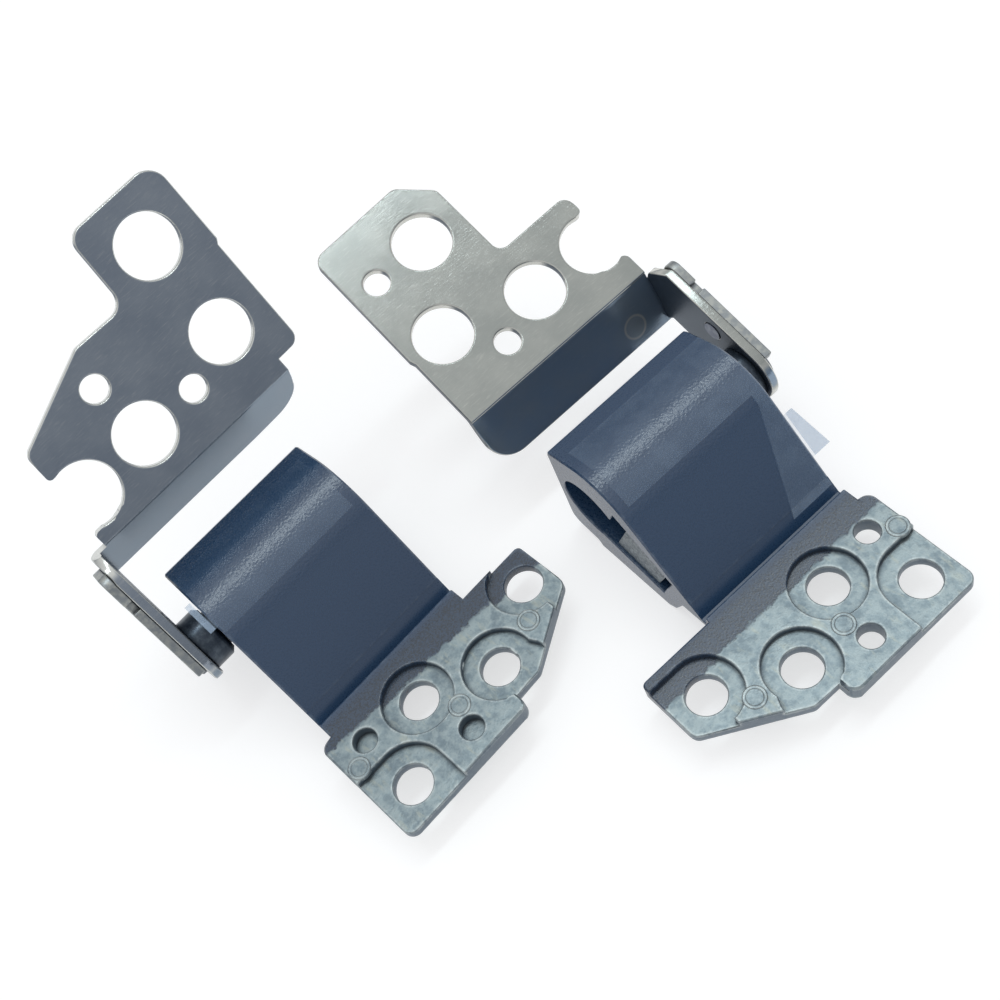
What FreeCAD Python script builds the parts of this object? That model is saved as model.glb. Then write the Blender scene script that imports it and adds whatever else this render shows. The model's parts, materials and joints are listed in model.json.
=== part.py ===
"""A left and a right laptop hinge, laid side by side with their display leaves raised.

Each hinge is described in a frame of its own: X runs along the hinge axis, Y points away from the
screw flange towards the display leaf, and Z points up. Its origin is on the axis, level with screw hole B.
"along" is a place on the axis, counted from hole B towards the end away from the ear, "reach" is a
distance from the axis towards the flange's outer edge, and "out" is a distance from the axis along the leaf.
The two hinges are built by the same functions: hand is +1 for the left one and -1 for the right one.
"""
import FreeCAD, Part
import math
import os
import Sketcher

LEFT = 1
RIGHT = -1
NAMES = {LEFT: "left", RIGHT: "right"}
TOLERANCE = 0.02

# Driving dimensions, in mm and degrees
DIMENSIONS = {
    # where the two hinges stand and how far each leaf is raised
    "axis_height": 6.2,
    "left_place_x": 0.0,
    "left_place_y": 0.0,
    "right_place_x": 27.16,
    "right_place_y": -18.06,
    "left_yaw": 0.0,
    "right_yaw": -4.94,
    "left_leaf_angle": 59.7,
    "right_leaf_angle": 20.7,
    # painted barrel
    "barrel_ear_end": -6.5,
    "barrel_far_end": 8.0,
    "nose_y": 3.8,
    "nose_top": 4.7,
    "crest_y": -2.75,
    "crest_top": 6.86,
    "face_foot_y": -11.45,
    "face_foot": -2.95,
    "lip_y": -9.3,
    "tip_y": -8.2,
    "tip_height": -5.5,
    "sole_inner_y": -7.1,
    "sole_outer_y": 0.5,
    "heel_y": 0.7,
    "heel_height": -5.6,
    "nose_foot_y": 3.7,
    "nose_foot": -5.1,
    "crest_round": 5.5,
    "nose_round": 0.5,
    "nose_foot_round": 1.2,
    "tip_round": 0.7,
    "barrel_edge_break": 0.14,
    # groove along the foot of the painted face
    "groove_start": 10.4,
    "groove_end": 12.0,
    "groove_floor_start": 11.4,
    "groove_floor_end": 11.8,
    "groove_depth": 1.05,
    # keyhole: bore, slanting slot, and the bearing hole at the ear end
    "bore_radius": 3.0,
    "slot_angle": -25.4,
    "slot_start": 1.6,
    "slot_reach": 8.2,
    "slot_near_half": 3.4,
    "slot_far_half": 1.95,
    "slot_offset": 0.95,
    "cavity_ear_end": -5.0,
    "running_clearance": 0.05,
    # screw flange
    "flange_top": -1.9,
    "flange_thickness": 1.6,
    "flange_root_reach": 9.4,
    "outline_round": 0.85,
    "small_outline_round": 0.45,
    "flange_edge_break": 0.16,
    "screw_radius": 1.55,
    "screw_a_along": -4.79,
    "screw_a_reach": 20.78,
    "screw_b_along": 0.0,
    "screw_b_reach": 16.4,
    "screw_c_along": 5.9,
    "screw_c_reach": 19.44,
    "screw_d_along": 12.0,
    "screw_d_reach": 16.0,
    "counterbore_radius": 2.88,
    "counterbore_depth": 0.6,
    "corner_pocket_radius": 3.0,
    "end_pocket_radius": 2.85,
    "pocket_depth": 0.65,
    "pin_radius": 0.97,
    "pin_p_along": -4.92,
    "pin_p_reach": 15.7,
    "pin_q_along": 1.07,
    "pin_q_reach": 21.44,
    "blind_pin_depth": 1.0,
    # hinge shaft
    "journal_radius": 1.7,
    "journal_end": 5.6,
    "collar_radius": 2.4,
    "collar_chamfer": 0.4,
    "collar_gap": 0.08,
    "spigot_radius": 1.6,
    "spigot_flat": 1.2,
    "head_radius": 1.95,
    "head_height": 0.65,
    "head_chamfer": 0.3,
    # friction clips and slot key
    "clip_count": 5,
    "clip_stack_start": -4.9,
    "clip_stack_end": 5.5,
    "clip_side_gap": 0.04,
    "clip_outer_radius": 2.94,
    "clip_split": 0.7,
    "clip_split_angle": 62.0,
    "clip_neck_height": 1.7,
    "clip_tail_start": 3.6,
    "slot_end_gap": 0.7,
    "key_start": 5.6,
    "key_recess": 0.3,
    "key_root": 3.05,
    "key_corner": 0.35,
    # display bracket
    "sheet": 0.8,
    "leaf_top": 0.7,
    "bend_out": 11.5,
    "bend_overlap": 0.8,
    "bend_outer_round": 1.3,
    "bend_inner_round": 0.5,
    "strip_angle": 48.0,
    "strip_width": 5.4,
    "left_strip_far_end": 11.35,
    "right_strip_far_end": 10.05,
    "strip_corner_round": 2.6,
    "ear_inner_along": -8.6,
    "ear_radius": 2.8,
    "ear_rise": 0.3,
    "ear_top_out": 9.3,
    "ear_corner_out": 11.0,
    "ear_corner_height": 0.9,
    "ear_foot_out": 7.6,
    "ear_bend_round": 0.7,
    "big_hole_radius": 2.48,
    "small_hole_radius": 1.1,
    "left_notch_along": -6.2,
    "left_notch_out": 15.0,
    "left_notch_radius": 2.65,
    "right_notch_along": -7.2,
    "right_notch_out": 16.0,
    "right_notch_radius": 2.6,
    # ear doubler plate and the rivet that holds it
    "doubler_thickness": 0.75,
    "doubler_near": -0.7,
    "doubler_far": 10.2,
    "doubler_top": 2.95,
    "doubler_foot": -2.45,
    "doubler_round": 1.0,
    "doubler_recess": 2.05,
    "doubler_nick_out": 6.6,
    "doubler_nick_width": 0.9,
    "doubler_nick_depth": 0.45,
    "rivet_out": 3.9,
    "rivet_height": 1.5,
    "rivet_radius": 0.8,
    "rivet_proud": 0.06,
    # protective film on the barrel
    "film_thickness": 0.1,
    "film_ear_inset": 0.15,
    "film_far_inset": 0.9,
    "film_nose_length": 1.2,
    "film_crest_share": 0.86,
    "film_band_width": 1.0,
    "film_band_foot_width": 4.0,
    "film_band_length": 8.6,
    "film_tab_start": 1.95,
    "film_tab_end": 5.95,
    "film_tab_start_reach": 0.9,
    "film_tab_end_reach": 1.8,
    "film_sliver_start": 0.3,
    "film_sliver_end": 0.75,
    "film_sliver_reach": 0.8,
}

# corner points of each flange: name, along, reach, rounding (0 none, 1 small, 2 full)
FLANGE_OUTLINE = {
    LEFT: [
        ("root_ear", -6.5, 9.4, 0), ("shoulder", -6.5, 13.3, 0), ("ear_near", -7.7, 13.5, 2),
        ("ear_outer", -7.7, 23.55, 2), ("step_outer", 5.05, 23.55, 2), ("step_inner", 5.05, 22.1, 0),
        ("taper_start", 7.5, 22.05, 2), ("taper_end", 14.1, 18.5, 2), ("far_near", 14.1, 13.3, 1),
        ("far_shoulder", 8.0, 13.3, 0), ("root_far", 8.0, 9.4, 0),
    ],
    RIGHT: [
        ("root_ear", -6.5, 9.4, 0), ("shoulder", -6.5, 13.3, 0), ("ear_near", -7.5, 13.5, 2),
        ("ear_outer", -7.5, 23.6, 2), ("step_outer", 5.05, 23.6, 2), ("step_inner", 5.05, 22.1, 0),
        ("taper_start", 7.4, 22.1, 2), ("taper_end", 14.85, 17.7, 2), ("far_near", 14.85, 12.3, 1),
        ("far_shoulder", 8.0, 12.3, 0), ("root_far", 8.0, 9.4, 0),
    ],
}

# the open side of counterbore C, from the counterbore out past the flange's edge: name, along, reach
MOUTH = [("low_in", 5.0, 21.6), ("low_out", 5.0, 25.0), ("up_out", 9.9, 25.0), ("up_edge", 9.1, 20.6),
         ("up_in", 8.2, 18.8)]

# corner points of each leaf: name, along, out, rounding radius
LEAF_OUTLINE = {
    LEFT: [
        ("top_far", 13.85, 29.6, 1.6), ("top_near", 5.6, 29.5, 1.3), ("waist", 5.3, 23.3, 1.3),
        ("shoulder", 0.6, 23.4, 1.2), ("hook_outer", -7.3, 20.1, 1.0), ("hook_tip", -7.4, 17.6, 0.35),
        ("notch_top", -6.2, 17.6, 0.0), ("notch_foot", -5.4, 12.45, 0.0), ("tab_outer", -7.9, 12.45, 0.4),
        ("tab_foot", -7.9, 11.3, 0.0), ("bend_far", 11.35, 11.3, 0.0), ("relief", 11.35, 12.45, 0.0),
        ("low_far", 13.6, 12.5, 0.9), ("shear_low", 13.6, 22.0, 0.0), ("shear_high", 13.85, 22.4, 0.0),
    ],
    RIGHT: [
        ("top_far", 10.25, 30.2, 1.1), ("top_near", 1.3, 30.6, 0.9), ("neck_top", -1.25, 28.1, 0.9),
        ("fork", -1.3, 20.5, 0.9), ("finger_outer", -8.6, 20.6, 0.95), ("finger_tip", -8.5, 18.6, 0.4),
        ("notch_top", -7.2, 18.5, 0.0), ("notch_foot", -6.2, 13.55, 0.0), ("tab_outer", -8.55, 13.6, 0.6),
        ("tab_foot", -8.55, 11.3, 0.0), ("bend_far", 10.05, 11.3, 0.0), ("low_far", 10.05, 17.9, 0.0),
        ("shear_high", 10.25, 18.4, 0.0),
    ],
}

# holes of each leaf: name, along, out
LEAF_HOLES = {
    LEFT: {"big": [("i", 9.55, 25.32), ("j", 9.39, 17.07), ("k", -0.02, 15.37)],
           "small": [("m", -0.38, 20.32), ("n", 4.93, 15.35)]},
    RIGHT: {"big": [("i", 2.71, 25.44), ("j", -1.12, 16.14), ("k", 6.77, 18.35)],
            "small": [("m", 7.72, 25.21), ("n", 3.43, 14.43)]},
}


def all_dimensions():
    """Every named value of the pair, the outline tables included."""
    values = dict(DIMENSIONS)
    for hand in (LEFT, RIGHT):
        side = NAMES[hand]
        for name, along, reach, _ in FLANGE_OUTLINE[hand]:
            values[f"{side}_flange_{name}_along"] = along
            values[f"{side}_flange_{name}_reach"] = reach
        for name, along, out, rounding in LEAF_OUTLINE[hand]:
            values[f"{side}_leaf_{name}_along"] = along
            values[f"{side}_leaf_{name}_out"] = out
            if rounding:
                values[f"{side}_leaf_{name}_round"] = rounding
        for kind in ("big", "small"):
            for name, along, out in LEAF_HOLES[hand][kind]:
                values[f"{side}_{kind}_hole_{name}_along"] = along
                values[f"{side}_{kind}_hole_{name}_out"] = out
    for name, along, reach in MOUTH:
        values[f"mouth_{name}_along"] = along
        values[f"mouth_{name}_reach"] = reach
    return values


def fill_sheet(sheet):
    """One row for each dimension: its name in the first column, its value in the second."""
    for row, (alias, value) in enumerate(all_dimensions().items(), start=1):
        sheet.set(f"A{row}", alias)
        sheet.set(f"B{row}", str(value))
        sheet.setAlias(f"B{row}", alias)


doc = FreeCAD.newDocument("laptop_hinge_pair")
sizes = doc.addObject("Spreadsheet::Sheet", "sizes")
fill_sheet(sizes)
doc.recompute()


def value(expression):
    """The number that an expression over the sheet's names gives."""
    return float(sizes.evalExpression(expression))


def size(name):
    return "sizes." + name


def across(hand, expression):
    """A place along the axis, turned about for the right hinge."""
    return expression if hand == LEFT else f"-({expression})"


# Building helpers
def new_body(label):
    body = doc.addObject("PartDesign::Body", label)
    body.Label = label
    return body


def new_sketch(body, name, role, offset=None):
    """A sketch on one of the body's own origin planes, moved along its normal by offset."""
    sketch = body.newObject("Sketcher::SketchObject", name)
    plane = next(item for item in body.Origin.OriginFeatures if item.Role == role)
    sketch.AttachmentSupport = (plane, [""])
    sketch.MapMode = "FlatFace"
    if offset:
        sketch.setExpression("AttachmentOffset.Base.z", offset)
    return sketch


def pin_point(sketch, geometry, point, u, v):
    """Hold one point of a sketch element at the place that two expressions give."""
    for kind, expression in (("DistanceX", u), ("DistanceY", v)):
        index = sketch.addConstraint(
            Sketcher.Constraint(kind, -1, 1, geometry, point, value(expression)))
        sketch.setExpression(f"Constraints[{index}]", expression)


def add_polygon(sketch, points):
    """A closed run of straight lines with a corner at each (u, v) pair of expressions."""
    first = sketch.GeometryCount
    places = [FreeCAD.Vector(value(u), value(v), 0) for u, v in points]
    count = len(points)
    for here, start in enumerate(places):
        sketch.addGeometry(Part.LineSegment(start, places[(here + 1) % count]), False)
    for here in range(count):
        following = first + (here + 1) % count
        sketch.addConstraint(Sketcher.Constraint("Coincident", first + here, 2, following, 1))
    for here, (u, v) in enumerate(points):
        pin_point(sketch, first + here, 1, u, v)


def add_circle(sketch, u, v, radius):
    centre = FreeCAD.Vector(value(u), value(v), 0)
    circle = Part.Circle(centre, FreeCAD.Vector(0, 0, 1), value(radius))
    geometry = sketch.addGeometry(circle, False)
    pin_point(sketch, geometry, 3, u, v)
    index = sketch.addConstraint(Sketcher.Constraint("Radius", geometry, value(radius)))
    sketch.setExpression(f"Constraints[{index}]", radius)


def grow(body, name, sketch, length, backwards=False):
    pad = body.newObject("PartDesign::Pad", name)
    pad.Profile = sketch
    pad.Reversed = backwards
    pad.setExpression("Length", length)
    body.Tip = pad
    doc.recompute()
    return pad


def cut(body, name, sketch, depth, backwards=False):
    """Remove material behind a sketch, and make sure that something was removed."""
    before = body.Shape.Volume
    pocket = body.newObject("PartDesign::Pocket", name)
    pocket.Profile = sketch
    pocket.Reversed = backwards
    pocket.setExpression("Length", depth)
    body.Tip = pocket
    doc.recompute()
    if body.Shape.Volume >= before:
        raise RuntimeError(f"{body.Label}: {name} removes nothing")
    return pocket


def dress_edges(body, name, kind, key, amount, chosen):
    """Dress the edges of the body's present shape that the test chooses with a feature of one kind."""
    base = body.Tip
    picked = [f"Edge{i}" for i, edge in enumerate(base.Shape.Edges, start=1) if chosen(edge)]
    if not picked:
        raise RuntimeError(f"{body.Label}: {name} finds no edge")
    feature = body.newObject(kind, name)
    feature.Base = (base, picked)
    feature.setExpression(key, amount)
    body.Tip = feature
    doc.recompute()
    return feature


def round_edges(body, name, radius, chosen):
    return dress_edges(body, name, "PartDesign::Fillet", "Radius", radius, chosen)


def break_edges(body, name, width, chosen):
    return dress_edges(body, name, "PartDesign::Chamfer", "Size", width, chosen)


def runs_at(edge, direction, places):
    """Whether an edge runs along one axis through one of the given places on the other two."""
    ends = [vertex.Point for vertex in edge.Vertexes]
    if len(ends) != 2:
        return False
    kept = [axis for axis in range(3) if axis != direction]
    if any(abs(ends[0][axis] - ends[1][axis]) > TOLERANCE for axis in kept):
        return False
    return any(abs(ends[0][kept[0]] - u) < TOLERANCE and abs(ends[0][kept[1]] - v) < TOLERANCE
               for u, v in places)


def lies_flat(edge, height):
    """Whether all of an edge is at one height."""
    box = edge.BoundBox
    return abs(box.ZMin - height) < TOLERANCE and abs(box.ZMax - height) < TOLERANCE


def placement(hand, raised=False):
    """Where a hinge stands, with the display side turned up about the axis if raised."""
    side = NAMES[hand]
    place = FreeCAD.Vector(value(size(side + "_place_x")), value(size(side + "_place_y")),
                           value(size("axis_height")))
    turn = FreeCAD.Rotation(FreeCAD.Vector(0, 0, 1), value(size(side + "_yaw")))
    if raised:
        lift = FreeCAD.Rotation(FreeCAD.Vector(1, 0, 0), value(size(side + "_leaf_angle")))
        turn = turn.multiply(lift)
    return FreeCAD.Placement(place, turn)


def start_and_length(hand, low, high):
    """The first place and the length of a span along the axis, for sketches that face along X."""
    start = low if hand == LEFT else f"-({high})"
    return start, f"({high}) - ({low})"


# Base casting
def barrel_outline():
    flange_under = f"{size('flange_top')} - {size('flange_thickness')}"
    sole = f"-{size('axis_height')}"
    return [
        (size("nose_y"), size("nose_top")), (size("crest_y"), size("crest_top")),
        (size("face_foot_y"), size("face_foot")), (size("face_foot_y"), flange_under),
        (size("lip_y"), flange_under), (size("tip_y"), size("tip_height")),
        (size("sole_inner_y"), sole), (size("sole_outer_y"), sole),
        (size("heel_y"), size("heel_height")), (size("nose_foot_y"), size("nose_foot")),
    ]


def add_barrel(body, hand):
    start, length = start_and_length(hand, size("barrel_ear_end"), size("barrel_far_end"))
    section = new_sketch(body, "barrel_section", "YZ_Plane", start)
    add_polygon(section, barrel_outline())
    grow(body, "barrel", section, length)
    for name, u, v, radius in (("crest", "crest_y", "crest_top", "crest_round"),
                               ("nose", "nose_y", "nose_top", "nose_round"),
                               ("nose_foot", "nose_foot_y", "nose_foot", "nose_foot_round"),
                               ("tip", "tip_y", "tip_height", "tip_round")):
        place = (value(size(u)), value(size(v)))
        round_edges(body, name + "_rounding", size(radius), lambda edge: runs_at(edge, 0, [place]))
    ends = [value(start), value(start) + value(length)]
    upper = value(size("face_foot")) + TOLERANCE

    def end_rim(edge):
        box = edge.BoundBox
        on_end = any(abs(box.XMin - end) < TOLERANCE and abs(box.XMax - end) < TOLERANCE for end in ends)
        return on_end and box.ZMax > upper and box.ZMin > value(size("nose_foot")) - TOLERANCE

    break_edges(body, "barrel_end_break", size("barrel_edge_break"), end_rim)


def flange_points(hand):
    side = NAMES[hand]
    points = []
    for name, *_ in FLANGE_OUTLINE[hand]:
        along = size(f"{side}_flange_{name}_along")
        reach = size(f"{side}_flange_{name}_reach")
        points.append((across(hand, along), f"-{reach}"))
    return points


def corner_places(hand, rounding):
    side = NAMES[hand]
    places = []
    for name, _, _, kind in FLANGE_OUTLINE[hand]:
        if kind == rounding:
            along = value(across(hand, size(f"{side}_flange_{name}_along")))
            places.append((along, -value(size(f"{side}_flange_{name}_reach"))))
    return places


def add_flange(body, hand):
    plan = new_sketch(body, "flange_plan", "XY_Plane", size("flange_top"))
    add_polygon(plan, flange_points(hand))
    grow(body, "flange", plan, size("flange_thickness"), backwards=True)
    for rounding, radius in ((1, "small_outline_round"), (2, "outline_round")):
        places = corner_places(hand, rounding)
        round_edges(body, f"outline_rounding_{rounding}", size(radius),
                    lambda edge: runs_at(edge, 2, places))
    beyond = -value(size("screw_b_reach"))

    def outer_rim(edge):
        return lies_flat(edge, value(size("flange_top"))) and edge.BoundBox.YMax < beyond

    break_edges(body, "flange_rim_break", size("flange_edge_break"), outer_rim)


def add_groove(body, hand):
    start, length = start_and_length(hand, size("barrel_ear_end"), size("barrel_far_end"))
    section = new_sketch(body, "groove_section", "YZ_Plane", start)
    floor = f"{size('flange_top')} - {size('groove_depth')}"
    open_side = f"{size('flange_top')} + {size('groove_depth')}"
    add_polygon(section, [
        (f"-{size('groove_start')}", size("flange_top")),
        (f"-{size('groove_floor_start')}", floor), (f"-{size('groove_floor_end')}", floor),
        (f"-{size('groove_end')}", size("flange_top")), (f"-{size('groove_end')}", open_side),
        (f"-{size('groove_start')}", open_side)])
    cut(body, "groove", section, length, backwards=True)


def slot_corner(distance, height):
    """A place in the keyhole section, from a distance along the slot and a height across it."""
    turn = size("slot_angle")
    return (f"-(({distance}) * cos({turn}) + ({height}) * sin({turn}))",
            f"({distance}) * sin({turn}) - ({height}) * cos({turn})")


def slot_half(distance):
    """Half the slot's height at a distance along it: the slot narrows towards its end."""
    narrowing = f"({size('slot_near_half')} - {size('slot_far_half')})"
    length = f"({size('slot_reach')} - {size('slot_start')})"
    return f"({size('slot_near_half')} - (({distance}) - {size('slot_start')}) * {narrowing} / {length})"


def slot_section(near, far):
    """The four corners of the slot between two distances along it."""
    offset = size("slot_offset")
    upper = [slot_corner(distance, f"-{slot_half(distance)} - {offset}") for distance in (near, far)]
    lower = [slot_corner(distance, f"{slot_half(distance)} - {offset}") for distance in (far, near)]
    return upper + lower


def neck_section(far, height):
    """A narrow band from the hinge axis along the slot."""
    half = f"({height}) / 2"
    return [slot_corner("0", half), slot_corner(far, half),
            slot_corner(far, f"-({half})"), slot_corner("0", f"-({half})")]


def add_keyhole(body, hand):
    start, length = start_and_length(hand, size("cavity_ear_end"), size("barrel_far_end"))
    bore = new_sketch(body, "bore_section", "YZ_Plane", start)
    add_circle(bore, "0", "0", size("bore_radius"))
    cut(body, "bore", bore, length, backwards=True)
    slot = new_sketch(body, "slot_section", "YZ_Plane", start)
    add_polygon(slot, slot_section(size("slot_start"), size("slot_reach")))
    cut(body, "slot", slot, length, backwards=True)
    start, length = start_and_length(hand, size("barrel_ear_end"), size("barrel_far_end"))
    bearing = new_sketch(body, "bearing_section", "YZ_Plane", start)
    add_circle(bearing, "0", "0", f"{size('journal_radius')} + {size('running_clearance')}")
    cut(body, "bearing", bearing, length, backwards=True)


def flange_place(hand, name):
    return across(hand, size(name + "_along")), f"-{size(name + '_reach')}"


def add_screw_holes(body, hand):
    holes = new_sketch(body, "screw_holes_plan", "XY_Plane", size("flange_top"))
    for name in ("screw_a", "screw_b", "screw_c", "screw_d"):
        add_circle(holes, *flange_place(hand, name), size("screw_radius"))
    cut(body, "screw_holes", holes, size("flange_thickness"))
    for name in ("screw_b", "screw_c"):
        bore = new_sketch(body, f"counterbore_{name}_plan", "XY_Plane", size("flange_top"))
        add_circle(bore, *flange_place(hand, name), size("counterbore_radius"))
        cut(body, f"counterbore_{name}", bore, size("counterbore_depth"))
    mouth = new_sketch(body, "counterbore_mouth_plan", "XY_Plane", size("flange_top"))
    add_polygon(mouth, [(across(hand, size(f"mouth_{name}_along")), f"-{size(f'mouth_{name}_reach')}")
                        for name, *_ in MOUTH])
    cut(body, "counterbore_mouth", mouth, size("counterbore_depth"))


def add_pocket_piece(body, hand, name, corners):
    plan = new_sketch(body, name + "_plan", "XY_Plane", size("flange_top"))
    add_polygon(plan, [(across(hand, along), f"-({reach})") for along, reach in corners])
    cut(body, name, plan, size("pocket_depth"))


def add_pockets(body, hand):
    side = NAMES[hand]
    past_ear = f"{size(side + '_flange_ear_outer_along')} - 1"
    past_outer = f"{size(side + '_flange_ear_outer_reach')} + 1"
    past_far = f"{size(side + '_flange_taper_end_along')} + 1"
    along, reach, radius = size("screw_a_along"), size("screw_a_reach"), size("corner_pocket_radius")
    for name, place, round_size in (("corner_pocket_arc", "screw_a", radius),
                                    ("end_pocket_arc", "screw_d", size("end_pocket_radius"))):
        plan = new_sketch(body, name + "_plan", "XY_Plane", size("flange_top"))
        add_circle(plan, *flange_place(hand, place), round_size)
        cut(body, name, plan, size("pocket_depth"))
    add_pocket_piece(body, hand, "corner_pocket_ear", [
        (past_ear, f"{reach} - {radius}"), (along, f"{reach} - {radius}"),
        (along, past_outer), (past_ear, past_outer)])
    add_pocket_piece(body, hand, "corner_pocket_outer", [
        (f"{along} - {radius}", reach), (f"{along} + {radius}", reach),
        (f"{along} + {radius}", past_outer), (f"{along} - {radius}", past_outer)])
    along, reach, radius = size("screw_d_along"), size("screw_d_reach"), size("end_pocket_radius")
    add_pocket_piece(body, hand, "end_pocket_open", [
        (along, f"{reach} - {radius}"), (past_far, f"{reach} - {radius}"),
        (past_far, f"{reach} + {radius} * 2"), (along, f"{reach} + {radius} * 2")])


def add_pin_holes(body, hand):
    pins = new_sketch(body, "pin_holes_plan", "XY_Plane", size("flange_top"))
    for name in ("pin_p", "pin_q"):
        add_circle(pins, *flange_place(hand, name), size("pin_radius"))
    cut(body, "pin_holes", pins, size("blind_pin_depth" if hand == LEFT else "flange_thickness"))


def base_casting(hand):
    body = new_body(NAMES[hand] + "_base_casting")
    add_barrel(body, hand)
    add_flange(body, hand)
    add_groove(body, hand)
    add_keyhole(body, hand)
    add_screw_holes(body, hand)
    add_pockets(body, hand)
    add_pin_holes(body, hand)
    body.Placement = placement(hand)
    return body


# Friction clips and slot key
def friction_clip(hand, number):
    """One clip: a split ring on the journal with a tail that fills the slot's height."""
    body = new_body(f"{NAMES[hand]}_friction_clip_{number}")
    pitch = f"(({size('clip_stack_end')} - {size('clip_stack_start')}) / {size('clip_count')})"
    low = f"{size('clip_stack_start')} + {pitch} * {number - 1}"
    high = f"{low} + {pitch} - {size('clip_side_gap')}"
    start, length = start_and_length(hand, low, high)
    ring = new_sketch(body, "ring_section", "YZ_Plane", start)
    add_circle(ring, "0", "0", size("clip_outer_radius"))
    grow(body, "ring", ring, length)
    neck = new_sketch(body, "neck_section", "YZ_Plane", start)
    add_polygon(neck, neck_section(size("clip_tail_start"), size("clip_neck_height")))
    grow(body, "neck", neck, length)
    tail = new_sketch(body, "tail_section", "YZ_Plane", start)
    tail_end = f"{size('slot_reach')} - {size('slot_end_gap')}"
    add_polygon(tail, slot_section(size("clip_tail_start"), tail_end))
    grow(body, "tail", tail, length)
    before, through = f"({start}) - {size('clip_side_gap')}", f"{length} + 2 * {size('clip_side_gap')}"
    hole = new_sketch(body, "hole_section", "YZ_Plane", before)
    add_circle(hole, "0", "0", f"{size('journal_radius')} + {size('running_clearance')}")
    cut(body, "hole", hole, through, backwards=True)
    split = new_sketch(body, "split_section", "YZ_Plane", before)
    turn = size("clip_split_angle")
    reach = f"({size('clip_outer_radius')} + 1)"
    half = f"({size('clip_split')} / 2)"
    corners = [(f"({reach} * {far}) * cos({turn}) - ({half} * {up}) * sin({turn})",
                f"({reach} * {far}) * sin({turn}) + ({half} * {up}) * cos({turn})")
               for far, up in ((0, -1), (1, -1), (1, 1), (0, 1))]
    add_polygon(split, corners)
    cut(body, "split", split, through, backwards=True)
    body.Placement = placement(hand)
    return body


def slot_key(hand):
    """The sintered block that closes the far end of the slot."""
    body = new_body(NAMES[hand] + "_slot_key")
    high = f"{size('barrel_far_end')} - {size('key_recess')}"
    start, length = start_and_length(hand, size("key_start"), high)
    section = new_sketch(body, "key_section", "YZ_Plane", start)
    end = f"{size('slot_reach')} - {size('slot_end_gap')}"
    corners = slot_section(size("key_root"), end)
    add_polygon(section, corners)
    grow(body, "block", section, length)
    places = [(value(u), value(v)) for u, v in corners]
    round_edges(body, "corner_rounding", size("key_corner"), lambda edge: runs_at(edge, 0, places))
    body.Placement = placement(hand)
    return body


# Hinge shaft
def shaft_profile():
    """Half section of the shaft from the riveted head to the end of the journal: along, radius."""
    ear_out = f"{size('ear_inner_along')} - {size('sheet')}"
    head_end = f"{ear_out} - {size('head_height')}"
    collar_end = f"{size('barrel_ear_end')} - {size('collar_gap')}"
    return [
        (head_end, "0"), (head_end, f"{size('head_radius')} - {size('head_chamfer')}"),
        (f"{head_end} + {size('head_chamfer')}", size("head_radius")), (ear_out, size("head_radius")),
        (ear_out, size("spigot_flat")), (size("ear_inner_along"), size("spigot_flat")),
        (size("ear_inner_along"), size("collar_radius")),
        (f"{collar_end} - {size('collar_chamfer')}", size("collar_radius")),
        (collar_end, f"{size('collar_radius')} - {size('collar_chamfer')}"),
        (collar_end, size("journal_radius")),
        (size("journal_end"), size("journal_radius")), (size("journal_end"), "0"),
    ]


def add_spigot_section(sketch, spare):
    """A round spigot cut by two flats: two arcs joined by two straight sides."""
    radius, flat = value(f"{size('spigot_radius')} + {spare}"), value(f"{size('spigot_flat')} + {spare}")
    angle = math.asin(flat / radius)
    half = radius * math.cos(angle)
    centre, up = FreeCAD.Vector(0, 0, 0), FreeCAD.Vector(0, 0, 1)
    ring = Part.Circle(centre, up, radius)
    right_arc = sketch.addGeometry(Part.ArcOfCircle(ring, -angle, angle), False)
    top = sketch.addGeometry(Part.LineSegment(FreeCAD.Vector(half, flat, 0),
                                              FreeCAD.Vector(-half, flat, 0)), False)
    left_arc = sketch.addGeometry(Part.ArcOfCircle(ring, math.pi - angle, math.pi + angle), False)
    foot = sketch.addGeometry(Part.LineSegment(FreeCAD.Vector(-half, -flat, 0),
                                               FreeCAD.Vector(half, -flat, 0)), False)
    for first, end, second, begin in ((right_arc, 2, top, 1), (top, 2, left_arc, 1),
                                      (left_arc, 2, foot, 1), (foot, 2, right_arc, 1)):
        sketch.addConstraint(Sketcher.Constraint("Coincident", first, end, second, begin))
    for arc in (right_arc, left_arc):
        sketch.addConstraint(Sketcher.Constraint("Coincident", arc, 3, -1, 1))
    sketch.addConstraint(Sketcher.Constraint("Horizontal", top))
    sketch.addConstraint(Sketcher.Constraint("Horizontal", foot))
    index = sketch.addConstraint(Sketcher.Constraint("Radius", right_arc, radius))
    sketch.setExpression(f"Constraints[{index}]", f"{size('spigot_radius')} + {spare}")
    index = sketch.addConstraint(Sketcher.Constraint("DistanceY", -1, 1, top, 1, flat))
    sketch.setExpression(f"Constraints[{index}]", f"{size('spigot_flat')} + {spare}")
    index = sketch.addConstraint(Sketcher.Constraint("DistanceY", foot, 1, -1, 1, flat))
    sketch.setExpression(f"Constraints[{index}]", f"{size('spigot_flat')} + {spare}")


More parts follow.
